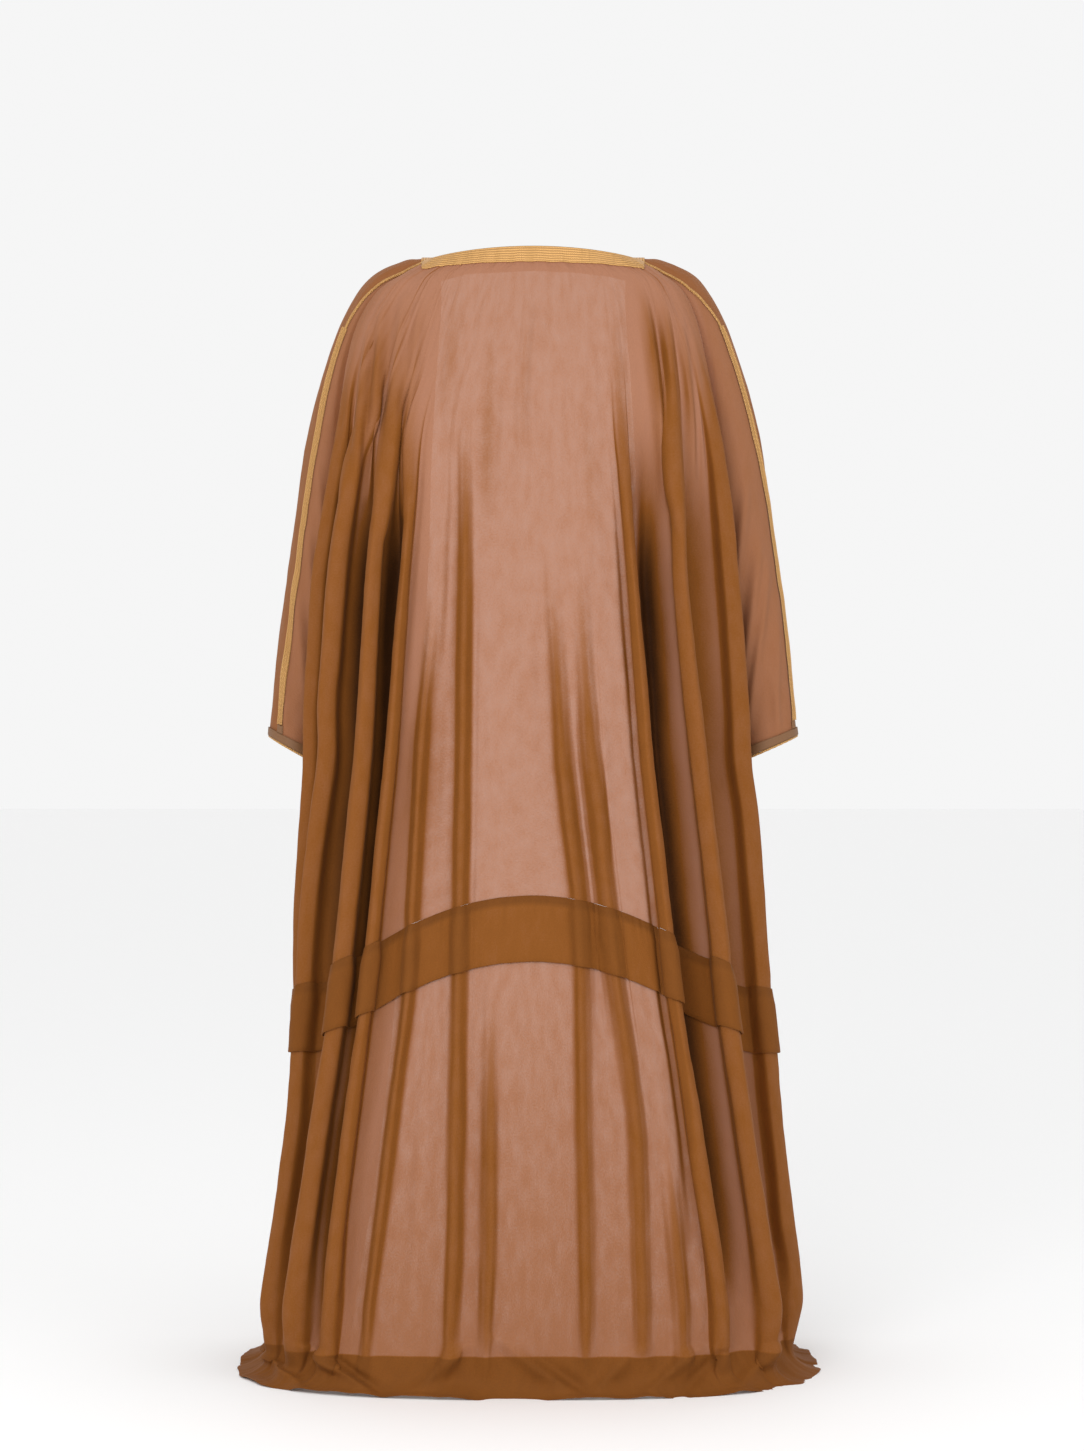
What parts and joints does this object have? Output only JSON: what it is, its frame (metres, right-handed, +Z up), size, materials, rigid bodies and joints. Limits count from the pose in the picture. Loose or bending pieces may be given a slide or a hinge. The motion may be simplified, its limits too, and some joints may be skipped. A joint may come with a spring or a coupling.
{
  "type": "bisht cloak",
  "caption": "Bisht, a wide open-fronted cloak of sheer brown cloth with gold bands, worn and trailing on the floor.",
  "frame": {"origin": "between the shoulders, where the wearer carries the cloak, 1.5 m above the floor that its hem lies on", "axes": "+Z up, +Y towards the back of the cloak, +X towards the wearer's left"},
  "size_m": [0.7998, 0.4629, 1.5226],
  "materials": {
    "Sheer brown cloth": "sheer crinkled voile, matt with a slight sheen",
    "Gold thread": "woven metal thread",
    "Brown binding": "matt twill"
  },
  "bodies": {
    "root": {"back_lower": "Sheer brown cloth", "back_upper": "Sheer brown cloth", "front_band_left": "Gold thread", "front_band_right": "Gold thread", "front_left_lower": "Sheer brown cloth", "front_left_upper": "Sheer brown cloth", "front_right_lower": "Sheer brown cloth", "front_right_upper": "Sheer brown cloth", "hem_back": "Sheer brown cloth", "hem_front_left": "Sheer brown cloth", "hem_front_right": "Sheer brown cloth", "neck_band": "Gold thread", "neck_facing": "Sheer brown cloth", "seam_braid_left": "Gold thread", "seam_braid_right": "Gold thread", "sleeve_left": "Sheer brown cloth", "sleeve_right": "Sheer brown cloth", "tab_left": "Brown binding", "tab_right": "Brown binding", "tuck_back": "Sheer brown cloth", "tuck_front_left": "Sheer brown cloth", "tuck_front_right": "Sheer brown cloth", "wrist_binding_left": "Brown binding", "wrist_binding_right": "Brown binding", "wrist_piping_left": "Gold thread", "wrist_piping_right": "Gold thread"}
  },
  "joints": []
}
